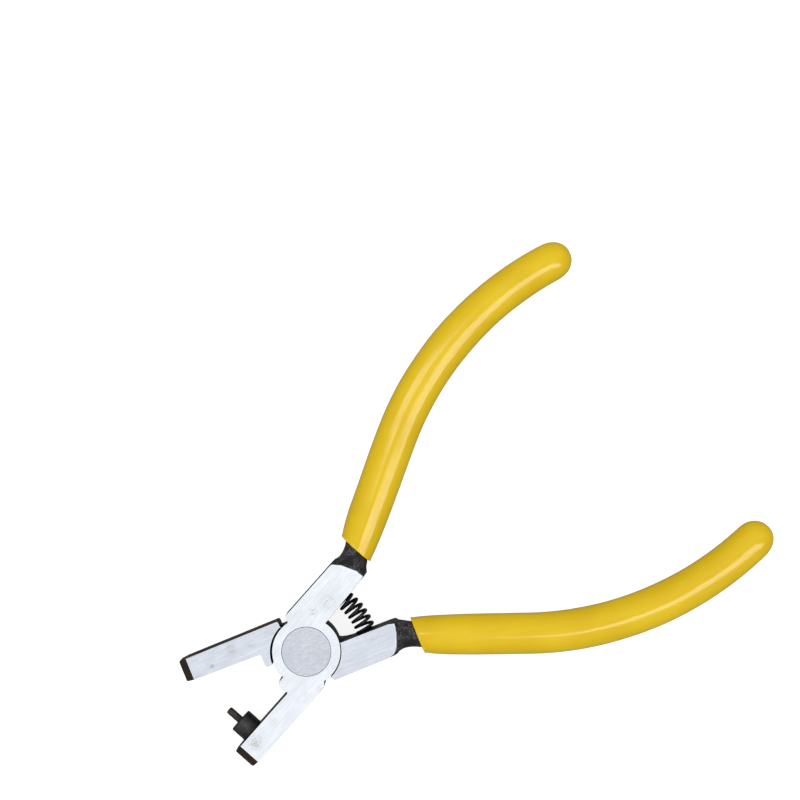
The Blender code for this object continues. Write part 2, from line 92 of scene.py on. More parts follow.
PUNCH = {
    "side": 1,
    "front": True,
    "jaw_inner": (-2.95 * MM, -2.95 * MM),
    "jaw_outer": -8.07 * MM,
    "tooth_top": 0.05 * MM,
    "tooth_chamfer": 0.55 * MM,
    "jaw_end": ((-2.25 * MM, -7.2 * MM), (-3.0 * MM, -7.97 * MM), (-3.3 * MM, -8.07 * MM)),
    "root_outer": 8.58 * MM,
    "root_corner": ((2.4 * MM, 7.9 * MM), (2.8 * MM, 8.58 * MM)),
    "root_inner": (1.0 * MM, 1.48 * MM),
    # behind the ground root: outer and inner point, half height, corner
    "neck": (
        (17.15, 9.4, 20.45, 0.70, 4.98, 1.8),
        (18.05, 9.0, 21.0, 1.25, 4.73, 2.2),
        (18.95, 8.52, 21.6, 1.72, 4.44, 2.5),
        (20.0, 8.27, 22.2, 2.32, 4.08, 2.7),
        (21.25, 8.47, 23.05, 2.85, 3.68, 2.6),
        (22.4, 8.85, 24.35, 3.85, 3.35, 2.5),
    ),
    "ground_to": (19.0 * MM, 21.35 * MM),
    "handle_v": 6.77 * MM,
    "handle_angle": math.radians(21.75),
    "bend_u": 47.05 * MM,
    "bend_r": 72.0 * MM,
    "grip": 82.9 * MM,
}
ANVIL = {
    "side": -1,
    "front": False,
    "jaw_inner": (-3.3 * MM, -3.6 * MM),
    "jaw_outer": -8.47 * MM,
    "tooth_top": -0.25 * MM,
    "tooth_chamfer": 0.3 * MM,
    "jaw_end": ((-3.28 * MM, -7.1 * MM), (-3.3 * MM, -8.2 * MM), (-3.55 * MM, -8.47 * MM)),
    "root_outer": 8.05 * MM,
    "root_corner": ((2.9 * MM, 7.3 * MM), (3.42 * MM, 8.05 * MM)),
    "root_inner": (1.0 * MM, 1.2 * MM),
    "neck": (
        (16.95, 8.87, 20.25, 0.45, 4.98, 2.2),
        (17.85, 8.45, 20.6, 1.05, 4.75, 2.7),
        (18.7, 7.83, 21.05, 1.62, 4.42, 2.7),
        (19.9, 7.68, 21.8, 2.02, 4.05, 2.7),
        (21.15, 7.92, 22.7, 2.52, 3.68, 2.6),
        (22.35, 8.38, 24.1, 3.35, 3.35, 2.5),
    ),
    "ground_to": (18.4 * MM, 20.65 * MM),
    "handle_v": 6.31 * MM,
    "handle_angle": math.radians(21.35),
    "bend_u": 46.2 * MM,
    "bend_r": 73.0 * MM,
    "grip": 83.3 * MM,
}


# ------------------------------------------------------------ node materials
class Nodes:
    """A little shorthand for building a node tree."""

    def __init__(self, name):
        self.material = bpy.data.materials.new(name)
        self.material.use_nodes = True
        self.tree = self.material.node_tree
        self.shader = self.tree.nodes["Principled BSDF"]

    def add(self, kind, **settings):
        node = self.tree.nodes.new(kind)
        for key, value in settings.items():
            setattr(node, key, value)
        return node

    def link(self, a, b):
        self.tree.links.new(a, b)

    def put(self, socket, value):
        if hasattr(value, "is_output") or hasattr(value, "links"):
            self.link(value, socket)
        else:
            socket.default_value = value

    def coords(self, turn=0.0, stretch=(1.0, 1.0, 1.0)):
        """The piece's own coordinates in millimetres, turned about Z, then stretched."""
        source = self.add("ShaderNodeTexCoord")
        turned = self.add("ShaderNodeVectorRotate", rotation_type="Z_AXIS")
        turned.inputs["Angle"].default_value = turn
        self.link(source.outputs["Object"], turned.inputs["Vector"])
        scaled = self.add("ShaderNodeVectorMath", operation="MULTIPLY")
        self.link(turned.outputs[0], scaled.inputs[0])
        scaled.inputs[1].default_value = tuple(1000.0 * s for s in stretch)
        return scaled.outputs[0]

    def noise(self, vector, scale, detail=2.0, rough=0.5, distortion=0.0):
        node = self.add("ShaderNodeTexNoise")
        self.link(vector, node.inputs["Vector"])
        node.inputs["Scale"].default_value = scale
        node.inputs["Detail"].default_value = detail
        node.inputs["Roughness"].default_value = rough
        node.inputs["Distortion"].default_value = distortion
        return node.outputs["Fac"]

    def voronoi(self, vector, scale, randomness=1.0):
        node = self.add("ShaderNodeTexVoronoi")
        self.link(vector, node.inputs["Vector"])
        node.inputs["Scale"].default_value = scale
        node.inputs["Randomness"].default_value = randomness
        return node.outputs["Distance"]

    def math(self, operation, a, b=0.0, c=0.0, clamp=False):
        node = self.add("ShaderNodeMath", operation=operation, use_clamp=clamp)
        for socket, value in zip(node.inputs, (a, b, c)):
            self.put(socket, value)
        return node.outputs[0]

    def span(self, value, low, high, out_low=0.0, out_high=1.0, smooth=True):
        node = self.add("ShaderNodeMapRange")
        node.interpolation_type = "SMOOTHSTEP" if smooth else "LINEAR"
        node.clamp = True
        self.put(node.inputs["Value"], value)
        for key, number in (("From Min", low), ("From Max", high), ("To Min", out_low), ("To Max", out_high)):
            node.inputs[key].default_value = number
        return node.outputs["Result"]

    def mix(self, factor, a, b, blend="MIX"):
        node = self.add("ShaderNodeMix", data_type="RGBA", blend_type=blend)
        self.put(node.inputs[0], factor)
        for socket, value in ((node.inputs[6], a), (node.inputs[7], b)):
            if isinstance(value, tuple):
                socket.default_value = (*value[:3], 1.0)
            else:
                self.link(value, socket)
        return node.outputs[2]

    def spot(self, vector, centre, radius, soft=0.5):
        """1 at a point given in the vector's units, falling to 0 at the radius."""
        away = self.add("ShaderNodeVectorMath", operation="DISTANCE")
        self.link(vector, away.inputs[0])
        away.inputs[1].default_value = centre
        return self.span(away.outputs["Value"], radius * soft, radius, 1.0, 0.0)

    def bump(self, height, depth_mm, normal=None, strength=1.0):
        node = self.add("ShaderNodeBump")
        node.inputs["Strength"].default_value = strength
        node.inputs["Distance"].default_value = depth_mm * MM
        self.link(height, node.inputs["Height"])
        if normal is not None:
            self.link(normal, node.inputs["Normal"])
        return node.outputs["Normal"]

    def done(self, color, roughness, normal=None, **plain):
        self.put(self.shader.inputs["Base Color"], color)
        self.put(self.shader.inputs["Roughness"], roughness)
        if normal is not None:
            self.link(normal, self.shader.inputs["Normal"])
        for key, value in plain.items():
            self.shader.inputs[key.replace("_", " ")].default_value = value
        return self.material


def ground_steel(name, tone, turn, lines, seed, smudges=(), rough=0.3, strength=1.0, contrast=1.0):
    """Surface-ground steel: a soft grey sheet, fine grinding lines, faint pits
    in patches, and a few dull smudges at given places (x, y, z, radius in mm)."""
    n = Nodes(name)
    plain = n.coords()
    shift = n.add("ShaderNodeVectorMath", operation="ADD")
    n.link(plain, shift.inputs[0])
    shift.inputs[1].default_value = (seed * 13.7, seed * 5.1, seed * 2.3)
    here = shift.outputs[0]
    grain = n.noise(n.coords(turn, lines), 1.0, 3.0, 0.62)
    cloud = n.noise(here, 0.22, 3.0, 0.55, 0.6)
    fine = n.noise(here, 2.6, 2.0, 0.6)
    # pits: small dark marks, let through only where the patch noise is high
    pits = n.span(n.voronoi(here, 1.3), 0.06, 0.20, 1.0, 0.0)
    patch = n.span(n.noise(here, 0.30, 2.0, 0.5), 0.50, 0.64)
    pits = n.math("MULTIPLY", n.math("MULTIPLY", pits, patch), n.span(fine, 0.45, 0.6))
    scuff = n.span(n.noise(n.coords(turn + 0.5, (0.35, 3.2, 3.2)), 0.9, 2.0, 0.7), 0.62, 0.74)
    scuff = n.math("MULTIPLY", scuff, n.span(cloud, 0.48, 0.62))
    scratchy = n.noise(n.coords(turn + 0.25, (1.1, 3.4, 3.4)), 1.0, 4.0, 0.7, 0.6)
    scratchy = n.span(scratchy, 0.46, 0.59, 0.03, 1.0)
    dull = None
    for x, y, z, radius, amount in smudges:
        one = n.math("MULTIPLY", n.spot(plain, (x, y, z), radius, 0.15), amount)
        one = n.math("MULTIPLY", one, scratchy)
        dull = one if dull is None else n.math("MAXIMUM", dull, one)
    mottle = n.noise(here, 1.35, 4.0, 0.68, 0.3)
    light = tuple(min(1.0, c * (1 + 0.06 * contrast)) for c in tone)
    dark = tuple(c * (1 - 0.09 * contrast) for c in tone)
    color = n.mix(n.span(grain, 0.3, 0.7), dark, light)
    color = n.mix(n.math("MULTIPLY", n.span(mottle, 0.50, 0.68), 0.30), color, tuple(c * 0.84 for c in tone))
    color = n.mix(n.math("MULTIPLY", n.span(cloud, 0.40, 0.7), 0.5), color, tuple(c * f for c, f in zip(tone, (0.92, 0.92, 0.93))))
    color = n.mix(n.math("MULTIPLY", scuff, 0.28 * strength), color, tuple(c * 0.72 for c in tone))
    color = n.mix(n.math("MULTIPLY", pits, 0.62 * strength), color, (0.22, 0.20, 0.19))
    if dull is not None:
        color = n.mix(dull, color, (0.19, 0.178, 0.165))
    height = n.math("ADD", n.math("MULTIPLY", grain, 0.7), n.math("MULTIPLY", fine, 0.3))
    height = n.math("SUBTRACT", height, n.math("MULTIPLY", pits, 0.8))
    normal = n.bump(height, 0.006, strength=0.55)
    roughness = n.math("ADD", n.span(cloud, 0.3, 0.7, rough - 0.05, rough + 0.07), n.math("MULTIPLY", grain, 0.06))
    return n.done(color, roughness, normal, Metallic=1.0, Specular_IOR_Level=0.5)


def dark_side(name, tone, turn, seed, streak=0.5):
    """Dark brown steel with cross-grain and lighter streaks along the lever. On the side walls facing +Y it is painted
    shade on ground steel like the rest; the jaw tips and the pin use it too.
    """
    n = Nodes(name)
    here = n.coords(turn)
    grain = n.noise(n.coords(turn, (5.5, 0.5, 0.32)), 1.0, 3.0, 0.6)
    cloud = n.noise(here, 0.5 + 0.01 * seed, 3.0, 0.6, 0.5)
    along = n.noise(n.coords(turn, (0.08, 1.6, 1.6)), 1.0, 2.0, 0.5)
    color = n.mix(n.span(cloud, 0.35, 0.7), tuple(c * 0.72 for c in tone), tuple(min(1.0, c * 1.25) for c in tone))
    color = n.mix(n.math("MULTIPLY", n.span(along, 0.52, 0.66), streak), color, tuple(min(1.0, c * 2.6) for c in tone))
    color = n.mix(n.math("MULTIPLY", n.span(grain, 0.55, 0.75), 0.35), color, tuple(min(1.0, c * 1.9) for c in tone))
    normal = n.bump(grain, 0.008, strength=0.5)
    return n.done(color, n.span(cloud, 0.3, 0.7, 0.5, 0.65), normal, Metallic=0.15, Specular_IOR_Level=0.12)


def black_oxide(name, seed, painted_sheen=1.0, depth=0.02, spec=0.24):
    """Black oxide on forged steel: a fine pebbled skin, with a painted sheen of mottled grey-blue patches and light
    specks put into the colour.
    """
    n = Nodes(name)
    plain = n.coords()
    shift = n.add("ShaderNodeVectorMath", operation="ADD")
    n.link(plain, shift.inputs[0])
    shift.inputs[1].default_value = (seed * 7.7, seed * 3.1, seed * 9.3)
    here = shift.outputs[0]
    pebble = n.noise(here, 2.4, 4.0, 0.65)
    grit = n.noise(here, 9.0, 2.0, 0.6)
    cloud = n.noise(here, 0.42, 3.0, 0.6, 0.8)
    mottle = n.math("MULTIPLY", n.span(pebble, 0.44, 0.60), n.span(cloud, 0.38, 0.58))
    color = n.mix(n.span(cloud, 0.3, 0.7), (0.006, 0.005, 0.005), (0.015, 0.013, 0.013))
    # painted sheen: grey-blue patches put into the colour where a facet would catch the light
    color = n.mix(n.math("MULTIPLY", mottle, 0.50 * painted_sheen), color, (0.135, 0.14, 0.16))
    # painted glints: light grey specks scaled with the painted sheen
    painted_glint_specks = n.span(n.noise(here, 5.0, 3.0, 0.7), 0.66, 0.74)
    color = n.mix(n.math("MULTIPLY", painted_glint_specks, 0.25 * painted_sheen), color, (0.16, 0.15, 0.15))
    height = n.math("ADD", n.math("MULTIPLY", pebble, 0.75), n.math("MULTIPLY", grit, 0.25))
    normal = n.bump(height, depth, strength=0.7)
    rough = n.math("SUBTRACT", n.span(grit, 0.3, 0.7, 0.36, 0.52), n.math("MULTIPLY", mottle, 0.06))
    return n.done(color, rough, normal, Metallic=0.1, Specular_IOR_Level=spec)


def dipped_vinyl(name, seed, turn):
    """Plastisol-dipped vinyl: glossy, with a faint orange peel, small flow marks
    along the handle, tiny trapped specks and a little grime."""
    n = Nodes(name)
    plain = n.coords()
    shift = n.add("ShaderNodeVectorMath", operation="ADD")
    n.link(plain, shift.inputs[0])
    shift.inputs[1].default_value = (seed * 5.3, seed * 8.9, seed * 4.7)
    here = shift.outputs[0]
    cloud = n.noise(here, 0.085, 2.0, 0.5, 0.4)
    peel = n.noise(here, 0.9, 2.0, 0.5)
    fine = n.noise(here, 4.5, 2.0, 0.55)
    flow = n.noise(n.coords(turn, (0.06, 0.9, 0.9)), 1.0, 2.0, 0.5)
    specks = n.span(n.voronoi(here, 0.16), 0.018, 0.034, 1.0, 0.0)
    scuffs = n.span(n.noise(n.coords(turn + 0.9, (0.5, 4.0, 2.0)), 1.0, 3.0, 0.7), 0.68, 0.76)
    color = n.mix(n.span(cloud, 0.3, 0.7), (0.64, 0.425, 0.0042), (0.685, 0.468, 0.0065))
    color = n.mix(n.math("MULTIPLY", n.span(flow, 0.45, 0.7), 0.25), color, (0.71, 0.50, 0.010))
    color = n.mix(n.math("MULTIPLY", specks, 0.55), color, (0.24, 0.15, 0.008))
    color = n.mix(n.math("MULTIPLY", scuffs, 0.10), color, (0.46, 0.33, 0.045))
    height = n.math("ADD", n.math("MULTIPLY", peel, 0.8), n.math("MULTIPLY", fine, 0.06))
    height = n.math("ADD", height, n.math("MULTIPLY", flow, 0.5))
    height = n.math("SUBTRACT", height, n.math("MULTIPLY", specks, 0.5))
    normal = n.bump(height, 0.012, strength=0.5)
    rough = n.math("ADD", n.span(fine, 0.3, 0.7, 0.13, 0.18), n.math("MULTIPLY", scuffs, 0.2))
    return n.done(
        color, rough, normal,
        Metallic=0.0, Specular_IOR_Level=0.2, Subsurface_Weight=0.1,
        Subsurface_Radius=(1.0, 0.6, 0.1), Subsurface_Scale=0.0010,
    )


# ------------------------------------------------------------- mesh helpers
def put_in_scene(name, mesh):
    obj = bpy.data.objects.new(name, mesh)
    bpy.context.scene.collection.objects.link(obj)
    return obj


def evaluated_mesh(obj):
    bpy.context.view_layer.update()
    graph = bpy.context.evaluated_depsgraph_get()
    return bpy.data.meshes.new_from_object(obj.evaluated_get(graph))


def tidy(mesh, flat=True):
    shape = bmesh.new()
    shape.from_mesh(mesh)
    bmesh.ops.remove_doubles(shape, verts=shape.verts, dist=2e-7)
    bmesh.ops.dissolve_degenerate(shape, edges=shape.edges, dist=1e-7)
    if flat:
        bmesh.ops.dissolve_limit(
            shape,
            angle_limit=math.radians(0.05),
            use_dissolve_boundaries=False,
            verts=shape.verts,
            edges=shape.edges,
        )
    bmesh.ops.recalc_face_normals(shape, faces=shape.faces)
    shape.to_mesh(mesh)
    shape.free()


def rounded(points, radii):
    out = []
    count = len(points)
    for i, (corner, radius) in enumerate(zip(points, radii)):
        here = Vector(corner)
        before = Vector(points[i - 1]) - here
        after = Vector(points[(i + 1) % count]) - here
        if radius <= 0:
            out.append(here)
            continue
        a, b = before.normalized(), after.normalized()
        half = a.angle(b) / 2
        back = min(radius / math.tan(half), before.length * 0.45, after.length * 0.45)
        radius = back * math.tan(half)
        centre = here + (a + b).normalized() * (radius / math.sin(half))
        start, end = here + a * back - centre, here + b * back - centre
        for k in range(CORNER_STEPS + 1):
            t = k / CORNER_STEPS
            ray = (start * (1 - t) + end * t).normalized() * radius
            out.append(centre + ray)
    return [tuple(p) for p in out]


def plate(name, outline, low, high, side=1, standing=False):
    curve = bpy.data.curves.new(name, "CURVE")
    curve.dimensions = "2D"
    curve.fill_mode = "BOTH"
    curve.extrude = (high - low) / 2
    spline = curve.splines.new("POLY")
    spline.points.add(len(outline) - 1)
    for point, (x, y) in zip(spline.points, outline):
        point.co = (x, y if standing else side * y, 0, 1)
    spline.use_cyclic_u = True
    guide = put_in_scene(name + "_outline", curve)
    if standing:
        guide.matrix_world = Matrix.Translation((0, side * (low + high) / 2, 0)) @ Matrix.Rotation(
            math.pi / 2, 4, "X"
        )
    else:
        guide.location.z = (low + high) / 2
    mesh = evaluated_mesh(guide)
    mesh.transform(guide.matrix_world)
    bpy.data.objects.remove(guide, do_unlink=True)
    tidy(mesh)
    return put_in_scene(name, mesh)


def cylinder(name, radius, base, direction, length, sides=64):
    direction = Vector(direction).normalized()
    shape = bmesh.new()
    bmesh.ops.create_cone(
        shape, cap_ends=True, segments=sides, radius1=radius, radius2=radius, depth=length
    )
    turn = Vector((0, 0, 1)).rotation_difference(direction).to_matrix().to_4x4()
    shape.transform(Matrix.Translation(Vector(base) + direction * length / 2) @ turn)
    mesh = bpy.data.meshes.new(name)
    shape.to_mesh(mesh)
    shape.free()
    return put_in_scene(name, mesh)


def block(name, low, high):
    shape = bmesh.new()
    bmesh.ops.create_cube(shape, size=1.0)
    low, high = Vector(low), Vector(high)
    shape.transform(Matrix.Translation((low + high) / 2) @ Matrix.Diagonal((*(high - low), 1.0)))
    mesh = bpy.data.meshes.new(name)
    shape.to_mesh(mesh)
    shape.free()
    return put_in_scene(name, mesh)


def loft(name, rings, closed_ends=True):
    shape = bmesh.new()
    rows = [[shape.verts.new(point) for point in ring] for ring in rings]
    count = len(rows[0])
    for row, other in zip(rows, rows[1:]):
        for i in range(count):
            j = (i + 1) % count
            shape.faces.new((row[i], row[j], other[j], other[i]))
    if closed_ends:
        for row, flip in ((rows[0], True), (rows[-1], False)):
            middle = shape.verts.new(sum((v.co for v in row), Vector()) / count)
            for i in range(count):
                j = (i + 1) % count
                shape.faces.new((row[j], row[i], middle) if flip else (row[i], row[j], middle))
    bmesh.ops.recalc_face_normals(shape, faces=shape.faces)
    mesh = bpy.data.meshes.new(name)
    shape.to_mesh(mesh)
    shape.free()
    return put_in_scene(name, mesh)


def combine(target, others, operation):
    for other in others:
        step = target.modifiers.new("step", "BOOLEAN")
        step.operation = operation
        step.solver = "EXACT"
        step.object = other
        mesh = evaluated_mesh(target)
        target.modifiers.clear()
        target.data = mesh
        tidy(mesh)
        bpy.data.objects.remove(other, do_unlink=True)
    return target


def turned(name, profile, sides, matrix):
    """A turned piece from a half profile of (radius, height) pairs, closed on
    the axis or on itself."""
    shape = bmesh.new()
    rows = []
    for radius, height in profile:
        if radius < 1e-9:
            rows.append([shape.verts.new((0, 0, height))])
        else:
            rows.append(
                [
                    shape.verts.new(
                        (radius * math.cos(2 * math.pi * i / sides), radius * math.sin(2 * math.pi * i / sides), height)
                    )
                    for i in range(sides)
                ]
            )
    pairs = list(zip(rows, rows[1:]))
    if len(rows[0]) > 1:
        pairs.append((rows[-1], rows[0]))
    for row, other in pairs:
        for i in range(sides):
            j = (i + 1) % sides
            if len(row) == 1:
                shape.faces.new((row[0], other[j], other[i]))
            elif len(other) == 1:
                shape.faces.new((row[i], row[j], other[0]))
            else:
                shape.faces.new((row[i], row[j], other[j], other[i]))
    bmesh.ops.recalc_face_normals(shape, faces=shape.faces)
    shape.transform(matrix)
    mesh = bpy.data.meshes.new(name)
    shape.to_mesh(mesh)
    shape.free()
    return put_in_scene(name, mesh)


def arc_profile(radius, height, r, up, steps=5):
    """Points of a rounded outer corner of a turned profile: from the top face to
    the side if up, else from the side to the bottom face."""
    points = []
    for k in range(steps + 1):
        a = math.pi / 2 * k / steps
        if up:
            points.append((radius - r + r * math.sin(a), height - r + r * math.cos(a)))
        else:
            points.append((radius - r + r * math.cos(a), height + r - r * math.sin(a)))
    return points


def placed(lever):
    return Matrix.Rotation(lever["side"] * HALF_OPEN, 4, "Z")


def shade(obj, angle=35):
    obj.data.shade_smooth()
    obj.data.set_sharp_from_angle(angle=math.radians(angle))


def true_flats(obj):
    """Large faces keep their own normals; the broken edges take up the turn."""
    weigh = obj.modifiers.new("weighted_normals", "WEIGHTED_NORMAL")
    weigh.mode = "FACE_AREA"
    weigh.weight = 50
    weigh.keep_sharp = True
    baked = evaluated_mesh(obj)
    obj.modifiers.clear()
    obj.data = baked


# ---------------------------------------------------------------- the levers
def handle_at(lever, s):
    angle, radius = lever["handle_angle"], lever["bend_r"]
    straight = (lever["bend_u"] - MOUTH_U) / math.cos(angle)
    run = min(s, straight)
    u = MOUTH_U + run * math.cos(angle)
    v = lever["handle_v"] + run * math.sin(angle)
    if s > straight:
        now = angle - (s - straight) / radius
        u += radius * (math.sin(angle) - math.sin(now))
        v += radius * (math.cos(now) - math.cos(angle))
        angle = now
    return u, v, angle


def ring_across(centre, across, half_width, half_height, power, count, side, mid=None):
    ring = []
    for i in range(count):
        t = 2 * math.pi * (i + 0.5) / count
        c, s = math.cos(t), math.sin(t)
        w = half_width * math.copysign(abs(c) ** (2 / power), c)
        h = half_height * math.copysign(abs(s) ** (2 / power), s)
        ring.append((centre[0] + across[0] * w, side * (centre[1] + across[1] * w), (MID if mid is None else mid) + h))
    return ring


def box_ring(outer, inner, half_height, corner, side):
    outer, inner = Vector(outer), Vector(inner)
    centre, across = (outer + inner) / 2, (outer - inner).normalized()
    half_width = (outer - inner).length / 2
    corner = min(corner, half_width * 0.98, half_height * 0.98)
    ring = []
    for quadrant in range(4):
        for k in range(RING_QUARTER):
            t = math.pi / 2 * (quadrant + k / (RING_QUARTER - 1))
            mid = math.pi / 2 * (quadrant + 0.5)
            w = math.copysign(half_width - corner, math.cos(mid)) + corner * math.cos(t)
            h = math.copysign(half_height - corner, math.sin(mid)) + corner * math.sin(t)
            ring.append((centre.x + across.x * w, side * (centre.y + across.y * w), MID + h))
    return ring


def tang_size(s):
    t = max(0.0, min(1.0, s / TANG_LENGTH))
    return (2.85 - 0.75 * t) * MM, (3.2 - 1.0 * min(1.0, t * 3)) * MM


def tang_rings(lever, grow=0.0, start=1.5 * MM, steps=26):
    rings = []
    for k in range(steps + 1):
        s = start + (TANG_LENGTH - start) * k / steps
        u, v, angle = handle_at(lever, s)
        width, height = tang_size(s)
        rings.append((u, v, (-math.sin(angle), math.cos(angle)), width + grow, height + grow))
    return rings


def tang_end(lever, grow=0.0, steps=5):
    ends = []
    width, height = tang_size(TANG_LENGTH)
    for k in range(1, steps + 1):
        t = k / steps * math.radians(78)
        s = TANG_LENGTH + math.sin(t) * (1.6 * MM + grow)
        u, v, angle = handle_at(lever, s)
        ends.append(
            (u, v, (-math.sin(angle), math.cos(angle)), (width + grow) * math.cos(t), (height + grow) * math.cos(t))
        )
    return ends


def section(entry, side, count, power=2.4):
    u, v, across, width, height = entry
    return ring_across((u, v), across, width, height, power, count, side)


def root_edge(lever, u):
    near, far = lever["root_inner"]
    return near + (far - near) * (u - 8.0 * MM) / (12.2 * MM)


def flowing(entries, start, per_span):
    """Extra entries between those from start on, on a Catmull-Rom path; each
    entry is a flat list of numbers."""
    out = [list(e) for e in entries[: start + 1]]
    for i in range(start, len(entries) - 1):
        p0 = entries[max(i - 1, 0)]
        p1, p2 = entries[i], entries[i + 1]
        p3 = entries[min(i + 2, len(entries) - 1)]
        for k in range(1, per_span + 1):
            t = k / per_span
            out.append(
                [
                    0.5
                    * (
                        2 * b
                        + (c - a) * t
                        + (2 * a - 5 * b + 4 * c - d) * t * t
                        + (3 * b - a - 3 * c + d) * t * t * t
                    )
                    for a, b, c, d in zip(p0, p1, p2, p3)
                ]
            )
    return out


def lever_shape(name, lever):
    """The CAD lever again, in its plan frame, with fine arcs and sections."""
    side, front = lever["side"], lever["front"]
    in_tooth, in_tip = lever["jaw_inner"]
    outer = lever["jaw_outer"]
    top = lever["tooth_top"]
    chamfer = lever["tooth_chamfer"]
    jaw = rounded(
        [
            (JAW_TIP, in_tip),
            (TOOTH_WALL, in_tooth),
            (TOOTH_WALL, top - chamfer),
            (TOOTH_WALL + chamfer * 0.8, top),
            (-6.9 * MM, top + 0.05 * MM),
            (-2.0 * MM, -2.0 * MM),
            (-1.6 * MM, -7.05 * MM),
            *lever["jaw_end"],
            (JAW_TIP, outer),
        ],
        [0.3 * MM, 0.25 * MM, 0.15 * MM, 0.15 * MM, 0, 0, 0, 0, 0, 0, 0.5 * MM],
    )
    body = plate(name, jaw, -GRIND, THICK + GRIND, side)
    out = lever["root_outer"] + STOCK
    tall = MID + GRIND
    low_corner, high_corner = (Vector(point) for point in lever["root_corner"])
    slant = (high_corner - low_corner) / (high_corner - low_corner).y
    outer_end, inner_end = lever["ground_to"]

    def inner(u):
        return (u, root_edge(lever, u) - STOCK)

    stations = [
        (high_corner + slant * STOCK, low_corner - slant * (low_corner.y - 1.3 * MM), tall, 1.3 * MM),
        ((9.5 * MM, out), inner(10.2 * MM), tall, 1.4 * MM),
        ((14.8 * MM, out), inner(17.4 * MM), tall, 1.45 * MM),
        *(
            ((a * MM, b * MM), (c * MM, d * MM), half * MM, corner * MM)
            for a, b, c, d, half, corner in lever["neck"]
        ),
    ]
    flat = [[a[0], a[1], b[0], b[1], h, c] for a, b, h, c in stations]
    flat = flowing(flat, 3, 4)
    rings = [box_ring((e[0], e[1]), (e[2], e[3]), e[4], e[5], side) for e in flat]
    count = len(rings[0])
    rings += [section(entry, side, count) for entry in tang_rings(lever, start=2.2 * MM) + tang_end(lever)]
    handle = loft(name + "_handle", rings)
    disc = cylinder(name + "_disc", BOSS_R, (0, 0, -2 * GRIND), (0, 0, 1), THICK + 4 * GRIND, 216)
    combine(body, [disc, handle], "UNION")

    low, high = (-3 * MM, MID + LAP_GAP / 2) if front else (MID - LAP_GAP / 2, THICK + 3 * MM)
    cuts = [
        cylinder("hollow", RECESS_R, (RECESS_SHIFT, 0, low), (0, 0, 1), high - low, 216),
        cylinder("shank_hole", RIVET_SHANK_R + FIT, (0, 0, -3 * MM), (0, 0, 1), THICK + 6 * MM, 96),
        cylinder(
            "head_seat",
            RIVET_HEAD_R + FIT,
            (0, 0, THICK - RIVET_HEAD_H if front else -3 * MM),
            (0, 0, 1),
            RIVET_HEAD_H + 3 * MM,
            192,
        ),
        cylinder(
            "spring_seat", SPRING_HOLE_R, (SPRING_U, -side * 1.0 * MM, MID), (0, side, 0), SPRING_HOLE_END + 1.0 * MM, 72
        ),
    ]
    if front:
        cuts.append(
            cylinder("holder_seat", SHANK_R + FIT, (PUNCH_U, side * (SHANK_BOTTOM - FIT), MID), (0, side, 0), 6.0 * MM, 64)
        )
    else:
        t = (PUNCH_U - TOOTH_WALL) / (JAW_TIP - TOOTH_WALL)
        face = in_tooth + (in_tip - in_tooth) * t
        cuts.append(cylinder("die_hole", DIE_R, (PUNCH_U, side * -10.0 * MM, MID), (0, side, 0), 9.0 * MM, 48))
        cuts.append(
            cylinder(
                "slug_relief", RELIEF_R, (PUNCH_U, side * -11.0 * MM, MID), (0, side, 0), 11.0 * MM + face - DIE_LAND, 72
            )
        )
    for flip in (False, True):
        ramp = [
            (JAW_TIP + TIP_BEVEL, THICK),
            (JAW_TIP + TIP_BEVEL + 1.12 * MM, THICK + 2 * MM),
            (JAW_TIP - 2.0 * MM, THICK + 2 * MM),
            (JAW_TIP - 2.0 * MM, THICK - TIP_BEVEL_DROP * (1 + 2.0 * MM / TIP_BEVEL)),
        ]
        if flip:
            ramp = [(u, THICK - z) for u, z in ramp]
        cuts.append(plate("ramp", ramp, -12 * MM, 2 * MM, side, standing=True))
    outer_side = lever["root_outer"]
    cuts.append(block("grind_front", (-40 * MM, -40 * MM, THICK), (130 * MM, 60 * MM, THICK + 5 * MM)))
    cuts.append(block("grind_back", (-40 * MM, -40 * MM, -5 * MM), (130 * MM, 60 * MM, 0)))
    ys = sorted((side * outer_side, side * 12 * MM))
    cuts.append(block("grind_side", (-1 * MM, ys[0], -2 * MM), (outer_end, ys[1], THICK + 2 * MM)))
    under = [
        (7.5 * MM, -6 * MM),
        (inner_end, -6 * MM),
        (inner_end, root_edge(lever, inner_end)),
        (7.5 * MM, root_edge(lever, 7.5 * MM)),
    ]
    cuts.append(plate("grind_inner", under, -2 * MM, THICK + 2 * MM, side))
    combine(body, cuts, "DIFFERENCE")
    if not front:
        # the forging leaves a web low in the corner between boss and root
        web = [
            (6.6 * MM, 0.4 * MM),
            (7.4 * MM, 0.22 * MM),
            (8.1 * MM, 0.56 * MM),
            (9.2 * MM, 0.84 * MM),
            (10.9 * MM, 1.04 * MM),
            (10.9 * MM, 2.2 * MM),
            (6.6 * MM, 2.2 * MM),
        ]
        combine(body, [plate("web", web, 0.6 * MM, 4.2 * MM, side)], "UNION")
    return body


FACE, SIDE, TIP, BLACK, RIM = range(5)


